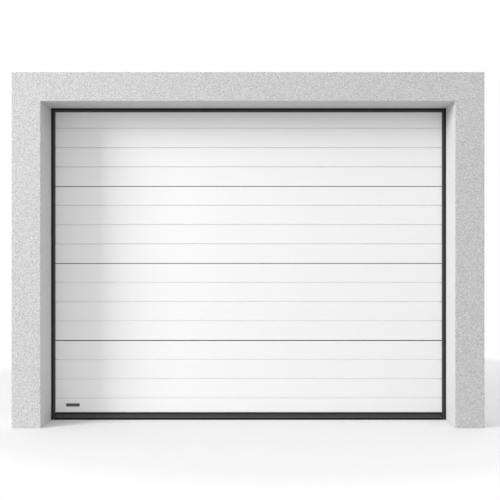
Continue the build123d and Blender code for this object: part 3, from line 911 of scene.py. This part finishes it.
@dataclass
class Fasteners:
    """Screws and bolts that hold the hardware, with hexagon heads on a pressed washer."""

    washer: Profile = ((7.0, 0), (7.0, 0.72), (5.0, 1.2))
    head: Profile = ((4.0, 1.2), (4.0, 4.0), (3.52, 4.6))
    nut_scale: float = 1.5
    button: Profile = ((7.0, 0), (6.6, 0.7), (4.0, 1.3))
    screw_spread: float = 18.0
    hinge_steps: Pair = (-50.0, 42.0)
    inner_hinge: float = 420.0
    outer_hinge_inset: float = 30.0
    bottom_insets: Pair = (14.0, 20.0)
    top_insets: Pair = (16.0, 12.0)
    track_sheet: float = 2.0
    post_bolts: int = 5
    post_bolt_insets: Pair = (150.0, 90.0)
    plate_bolts: Pair = (40.0, 170.0)
    hanger_half: float = 40.0
    hanger_bolts: Pair = (-22.0, 22.0)
    bar_inset: float = 14.0
    flange_reach: float = 24.0
    flange_rise: float = 22.0
    flange_top: float = 2171.0
    rail_anchors: int = 5
    rail_reach: float = 1150.0
    rail_sheet: float = 2.0
    rail_height: float = 2069.0
    centre_anchor: float = 31.0
    centre_heights: Pair = (2123.0, 2178.0)

    def hexagon(self, scale: float = 1.0) -> np.ndarray:
        """Washer and six-sided head as rings, a size larger or smaller by scale."""
        head = turned(self.head, steps=12, flats=6)
        return closed(np.concatenate([turned(self.washer, steps=12), head]) * scale)

    def hinge_screws(self) -> None:
        """Two screws in each hinge leaf and four in each bracket, all from the garage side."""
        pins = [node_box(f"leaf_section_{n}")[0][2] - SECTION_GAP / 2 for n in (2, 3, 4)]
        heights = [pin + step for pin in pins for step in self.hinge_steps]
        inner_face = node_box("leaf_section_2")[1][1] + PLATE_THICKNESS
        outer_face = node_box("right_end_caps")[1][1] + PLATE_THICKNESS
        outer_x = node_box("hinge_upper_leaves")[1][0] - self.outer_hinge_inset
        rows = [(self.inner_hinge, inner_face, z) for z in heights]
        for name, insets in (("bottom", self.bottom_insets), ("top", self.top_insets)):
            low, high = node_box(f"{name}_brackets")
            heights += [low[2] + insets[0], high[2] - insets[1]]
        rows += [(outer_x, outer_face, z) for z in heights]
        pair = (-self.screw_spread, self.screw_spread)
        screws = Surface()
        for sign in SIDES.values():
            places = [(sign * x + step, y, z) for x, y, z in rows for step in pair]
            screws.add(self.hexagon(), places, Facing.BACK)
        screws.piece("hinge_screws", ZINC_PLATE, "zinc_plated_steel")

    def track_bolts(self) -> None:
        """Flange nuts outside the tracks and on the crossbar, flat round bolt heads in the tracks."""
        track_low, track_high = node_box("right_vertical_track")
        level_low, level_high = node_box("right_level_track")
        hanger_low, hanger_high = node_box("ceiling_hangers")
        post, bar = node_box("right_frame_post")[1], node_box("rear_crossbar")[1]
        web = track_high[0]
        middle_y = (track_low[1] + track_high[1]) / 2
        middle_z = (level_low[2] + level_high[2]) / 2
        first, last = self.post_bolt_insets
        heights = np.linspace(first, track_high[2] - last, self.post_bolts)
        hangers = (hanger_low[1] + self.hanger_half, hanger_high[1] - self.hanger_half)
        depths = [level_low[1] + step for step in self.plate_bolts]
        depths += [y + step for y in hangers for step in self.hanger_bolts]
        rows = [(post[0], middle_y, z) for z in heights]
        outside = np.array(rows + [(web + PLATE_THICKNESS, y, middle_z) for y in depths])
        inside = outside * [0, 1, 1] + [web - self.track_sheet, 0, 0]
        nut, button = self.hexagon(self.nut_scale), closed(turned(self.button, steps=16))
        bolts = Surface()
        for sign in SIDES.values():
            bolts.add(nut, outside * [sign, 1, 1], Facing.sideways(sign))
            bolts.add(button, inside * [sign, 1, 1], Facing.sideways(-sign))
        bar_x = bar[0] - self.bar_inset
        bolts.add(nut, [(x, bar[1], middle_z) for x in (-bar_x, bar_x)], Facing.BACK)
        bolts.piece("track_bolts", ZINC_PLATE, "zinc_plated_steel")

    def wall_anchors(self) -> None:
        """Anchors of the end plates' flanges, the head rail and the centre bracket in the wall."""
        plate = node_box("right_shaft_end_plate")[0]
        flange = node_box("right_vertical_track")[1][0] + self.flange_reach
        heights = (plate[2] + self.flange_rise, self.flange_top)
        rows = [(x, plate[1] + PLATE_THICKNESS, z) for x in (-flange, flange) for z in heights]
        rail = node_box("head_rail")[0][1] + self.rail_sheet
        along = np.linspace(-self.rail_reach, self.rail_reach, self.rail_anchors)
        rows += [(x, rail, self.rail_height) for x in along]
        centre = node_box("centre_bearing_bracket")[0][1] + PLATE_THICKNESS
        pair = (-self.centre_anchor, self.centre_anchor)
        rows += [(x, centre, z) for x in pair for z in self.centre_heights]
        anchors = Surface().add(self.hexagon(self.nut_scale), rows, Facing.BACK)
        anchors.piece("wall_anchors", ZINC_PLATE, "zinc_plated_steel")

    def build(self) -> None:
        """Makes all of it."""
        self.hinge_screws()
        self.track_bolts()
        self.wall_anchors()


@dataclass
class Counterbalance:
    """Springs, cables, bearings and set screws on the shaft above the doorway."""

    wire: float = 6.0
    wire_share: float = 0.99
    wire_steps: int = 8
    coil_steps: int = 28
    rope_radius: float = 1.5
    rope_valley: float = 0.84
    rope_lay: float = 20.0
    rope_step: float = 2.6
    strands: int = 6
    stud_radius: float = 4.0
    loop_width: float = 8.6
    loop_top: float = 142.0
    loop_steps: int = 48
    ferrule_half: Pair = (2.6, 4.4)
    ferrule_ends: Pair = (-3.0, 24.0)
    drum_wraps: float = 2.3
    first_shift: float = 1.5
    groove_pitch: float = 6.0
    seat_radius: float = 48.0
    race_half: float = 6.0
    race: Profile = ((13.0, 0), (13.0, 6.0), (16.5, 6.0), (17.0, 4.6), (21.5, 4.6), (22.0, 5.7))
    rim: Profile = ((-0.6, 5.7), (0, 5.1), (0, 0))
    set_screw: Profile = ((3.2, 0), (3.2, 4), (4.0, 4), (4.0, 10.4), (3.4, 11))
    set_screws_at: Profile = ((1244.5, 21.5), (524.5, 23.5))

    def shaft_axis(self) -> Pair:
        """The shaft's y and z."""
        low, high = node_box("torsion_shaft")
        return (low[1] + high[1]) / 2, (low[2] + high[2]) / 2

    def spring(self, name: str, sign: int) -> None:
        """Close-wound coil: a tube along a helix, one wire's width forward in each turn.

        Args:
            name: of the plain spring that it stands for.
            sign: 1 or -1, for coils that turn opposite ways.
        """
        low, high = node_box(name)
        y, z = self.shaft_axis()
        radius = (high[2] - low[2]) / 2 - self.wire / 2
        turns = (high[0] - low[0] - self.wire) / self.wire
        angle = np.linspace(0, 2 * np.pi * turns, int(turns * self.coil_steps))
        along = np.linspace(low[0] + self.wire / 2, high[0] - self.wire / 2, len(angle))[::sign]
        path = np.stack([along, y + radius * np.cos(angle), z + radius * np.sin(angle)], axis=-1)
        coil = Surface().add(closed(tube(path, self.wire / 2 * self.wire_share, self.wire_steps)))
        coil.piece(f"{name}_coil", SPRING_WIRE, "spring_steel", (name,))

    def rope(self, path: np.ndarray) -> np.ndarray:
        """Stranded rope along a path.

        The radius at angle a and length s is r (v + (1 - v) |cos(n (a - 2 pi s / lay) / 2)|), which
        gives n strands that lie round each other once in each lay, with valleys v times as high.

        Args:
            path: points of the centre line.

        Returns:
            Rings of points.
        """
        steps = 3 * self.strands
        run = np.concatenate([[0], np.cumsum(np.linalg.norm(np.diff(path, axis=0), axis=1))])
        angle = np.arange(steps) * 2 * np.pi / steps
        phase = angle[None] - 2 * np.pi * run[:, None] / self.rope_lay
        ridge = np.abs(np.cos(self.strands * phase / 2))
        radius = self.rope_radius * (self.rope_valley + (1 - self.rope_valley) * ridge)
        return closed(tube(path, radius[..., None], steps))

    def cables(self) -> None:
        """Lift cables: a loop on the bracket's stud, a ferrule, a straight run and wraps on the drum.

        The loop is a teardrop, y = w sin t sin^2(t / 2), z = c + b cos t. On the drum the cable's
        angle grows from its front over the top, its radius settles into the groove, and it moves
        outwards by one groove in each turn.
        """
        low, high = node_box("lift_cables")
        x, line_y = high[0] - self.rope_radius, (low[1] + high[1]) / 2
        y, z = self.shaft_axis()
        bottom = low[2] - 2 * self.stud_radius - self.rope_radius
        t = np.linspace(0, 2 * np.pi, self.loop_steps)
        centre, half = (self.loop_top + bottom) / 2, (self.loop_top - bottom) / 2
        sway = self.loop_width * np.sin(t) * np.sin(t / 2) ** 2
        loop = np.stack([0 * t + x, sway + line_y, centre + half * np.cos(t)], axis=-1)
        heights = np.arange(self.loop_top, z, self.rope_step)
        straight = np.stack([0 * heights + x, 0 * heights + line_y, heights], axis=-1)
        start_radius = y - line_y
        turn = np.arange(0, self.drum_wraps * 2 * np.pi, self.rope_step / start_radius)
        radius = self.seat_radius + (start_radius - self.seat_radius) * np.exp(-turn)
        shift = self.first_shift * np.clip(turn / np.pi, 0, 1)
        shift += self.groove_pitch * np.clip(turn / (2 * np.pi) - 0.5, 0, None)
        wraps = np.stack([x + shift, y - radius * np.cos(turn), z + radius * np.sin(turn)], axis=-1)
        run = np.concatenate([straight, wraps])
        core = np.array([(x, line_y, self.loop_top + end) for end in self.ferrule_ends])
        sleeve = tube(core, np.array([*self.ferrule_half, 1.0]), steps=20)
        ferrules = Surface()
        for side, sign in SIDES.items():
            cable = Surface().add(self.rope(loop * [sign, 1, 1])).add(self.rope(run * [sign, 1, 1]))
            replaced = ("lift_cables",) if side == "right" else ()
            cable.piece(f"{side}_lift_cable", ZINC_PLATE, "zinc_plated_steel", replaced)
            ferrules.add(closed(sleeve * [sign, 1, 1]))
        ferrules.piece("cable_ferrules", CAST_ALLOY, "cast_alloy")

    def bearings(self) -> None:
        """Ball bearings: an outer ring, a recessed shield and an inner ring, turned about the shaft."""
        low, high = node_box("shaft_bearings")
        y, z = self.shaft_axis()
        outer = (high[2] - low[2]) / 2
        rim = tuple((outer + step, height) for step, height in self.rim)
        rings = turned(self.race + rim, steps=40)
        races = Surface()
        for x in (low[0] + self.race_half, 0.0, high[0] - self.race_half):
            for facing in (Facing.RIGHT, Facing.LEFT):
                races.add(rings, [(x, y, z)], facing)
        races.piece("bearing_races", ZINC_PLATE, "zinc_plated_steel", ("shaft_bearings",))

    def set_screws(self) -> None:
        """Square-headed set screws, two in each drum's hub and two in each winding cone's collar."""
        y, z = self.shaft_axis()
        square = closed(turned(self.set_screw, steps=16, flats=4))
        screws = Surface()
        for sign in SIDES.values():
            for x, radius in self.set_screws_at:
                screws.add(square, [(sign * x, y, z + radius)], Facing.UP)
                screws.add(square, [(sign * x, y + radius, z)], Facing.BACK)
        screws.piece("set_screws", ZINC_PLATE, "zinc_plated_steel")

    def build(self) -> None:
        """Makes all of it."""
        for side, sign in SIDES.items():
            self.spring(f"{side}_torsion_spring", sign)
        self.cables()
        self.bearings()
        self.set_screws()


@dataclass
class Studio:
    """Pale floor, soft light from the upper left, white surroundings and the photograph's camera."""

    image_width: float = 500.0
    vanishing_point: Pair = (261.9, 248.0)
    camera_place: Point = (86.0, -5183.0, 1110.0)
    camera_reach: float = 200000.0
    focal_length: float = 57.245
    sensor: float = 36.0
    lamp_place: Point = (-8500.0, -4300.0, 4500.0)
    lamp_aim: Point = (-300.0, -150.0, 1000.0)
    lamp_size: float = 3400.0
    lamp_power: float = 730.0
    ambient: float = 0.985
    painted_falloff_tones: tuple[str, str] = ("#dbdbdb", "#e9e9e9")
    floor_sides: Pair = (-1500.0, 1500.0)
    bounce_tones: tuple[str, str] = ("#cbcbcb", "#b3b3b3")
    bounce_ends: Pair = (350.0, 1000.0)
    floor_roughness: float = 0.9
    floor_specular: float = 0.1
    floor_half: float = 30000.0
    floor_drop: float = 0.3
    fade_middle: Pair = (250.0, 1200.0)
    fade_ends: Pair = (2450.0, 2800.0)

    def camera(self) -> None:
        """Level camera square to the wall, shifted so that the vanishing point lands on its pixel."""
        data = bpy.data.cameras.new("photo_camera")
        data.sensor_width = self.sensor
        data.lens = self.focal_length
        middle = self.image_width / 2
        data.shift_x = (middle - self.vanishing_point[0]) / self.image_width
        data.shift_y = (self.vanishing_point[1] - middle) / self.image_width
        data.clip_end = self.camera_reach * MM
        made = bpy.data.objects.new("photo_camera", data)
        made.location = np.array(self.camera_place) * MM
        made.rotation_euler = (np.pi / 2, 0, 0)
        bpy.context.scene.collection.objects.link(made)
        bpy.context.scene.camera = made

    def lamp(self) -> None:
        """One large square lamp, high on the left in front of the wall."""
        data = bpy.data.lights.new("key_lamp", "AREA")
        data.size = self.lamp_size * MM
        data.energy = self.lamp_power
        made = bpy.data.objects.new("key_lamp", data)
        made.location = np.array(self.lamp_place) * MM
        aim = bpy.data.objects.new("lamp_aim", None)
        aim.location = np.array(self.lamp_aim) * MM
        follow = made.constraints.new("TRACK_TO")
        follow.target = aim
        follow.track_axis = "TRACK_NEGATIVE_Z"
        follow.up_axis = "UP_Y"
        for thing in (made, aim):
            bpy.context.scene.collection.objects.link(thing)

    def surroundings(self) -> None:
        """World that lights evenly and shows white to the camera, in gloss and through glass."""
        world = bpy.data.worlds.new("white_room")
        world.use_nodes = True
        nodes = Nodes(world.node_tree)
        rays = nodes.add_node("ShaderNodeLightPath").outputs
        seen = rays["Is Camera Ray"]
        for kind in ("Is Glossy Ray", "Is Transmission Ray"):
            seen = nodes.maths("MAXIMUM", seen, rays[kind])
        strength = nodes.spread(seen, (0.0, 1.0), (self.ambient, 1.0))
        nodes.feed(nodes.tree.nodes["Background"], {"Color": "#ffffff", "Strength": strength})
        bpy.context.scene.world = world

    def floor_material(self) -> bpy.types.Material:
        """Pale floor that keeps the shadows near the door and fades to white in a ring round it.

        The camera sees tones that go from one side to the other, darker on the lamp's side as painted
        shade that evens out the lamp's falloff. What the floor throws back on the door has tones of its
        own, which go with the distance from the leaf.

        Returns:
            The material.
        """
        made = bpy.data.materials.new("pale_floor")
        made.use_nodes = True
        nodes = Nodes(made.node_tree)
        shader, output = (nodes.tree.nodes[name] for name in ("Principled BSDF", "Material Output"))
        seen = nodes.add_node("ShaderNodeLightPath").outputs["Is Camera Ray"]
        away = nodes.spread(nodes.maths("ABSOLUTE", nodes.axis[1]), self.bounce_ends, unit=MM)
        bounce = nodes.mix(away, *self.bounce_tones)
        # painted shade on the lamp's side, paler away from it, so the floor looks even
        shown = nodes.mix(nodes.spread(nodes.axis[0], self.floor_sides, unit=MM), *self.painted_falloff_tones)
        tone = nodes.mix(seen, bounce, shown)
        nodes.feed(shader, {"Base Color": tone, "Roughness": self.floor_roughness})
        nodes.feed(shader, {"Specular IOR Level": self.floor_specular})
        ends = {0: nodes.place, 1: (self.fade_middle[0] * MM, self.fade_middle[1] * MM, 0)}
        reach = nodes.add_node("ShaderNodeVectorMath", {"operation": "DISTANCE"}, ends).outputs["Value"]
        start, end = self.fade_ends
        inputs = {"Value": reach, 1: start * MM, 2: end * MM}
        fade = nodes.add_node("ShaderNodeMapRange", {"interpolation_type": "SMOOTHSTEP"}, inputs)
        share = nodes.maths("MULTIPLY", fade.outputs[0], seen)
        white = nodes.add_node("ShaderNodeEmission").outputs[0]
        inputs = {0: share, 1: shader.outputs[0], 2: white}
        faded = nodes.add_node("ShaderNodeMixShader", None, inputs).outputs[0]
        nodes.feed(output, {"Surface": faded})
        return made

    def floor(self) -> None:
        """Flat square floor just below the door."""
        corners = np.array([(-1, -1), (1, -1), (1, 1), (-1, 1)]) * self.floor_half
        mesh = bpy.data.meshes.new("floor")
        mesh.from_pydata(np.insert(corners, 2, -self.floor_drop, axis=1) * MM, [], [(0, 1, 2, 3)])
        mesh.materials.append(self.floor_material())
        made = bpy.data.objects.new("floor", mesh)
        bpy.context.scene.collection.objects.link(made)

    def build(self) -> None:
        """Makes all of it."""
        self.camera()
        self.lamp()
        self.surroundings()
        self.floor()
        bpy.context.scene.view_settings.view_transform = "Standard"


def main() -> None:
    """Dresses the frame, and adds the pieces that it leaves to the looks."""
    logging.basicConfig(level=logging.INFO, format="%(name)s: %(message)s")
    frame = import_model()
    Studio().build()
    dress_frame(frame)
    for assembly in (PlasteredPortal(), LeafTrim(), Fasteners(), Counterbalance()):
        assembly.build()


if __name__ == "__main__":
    main()
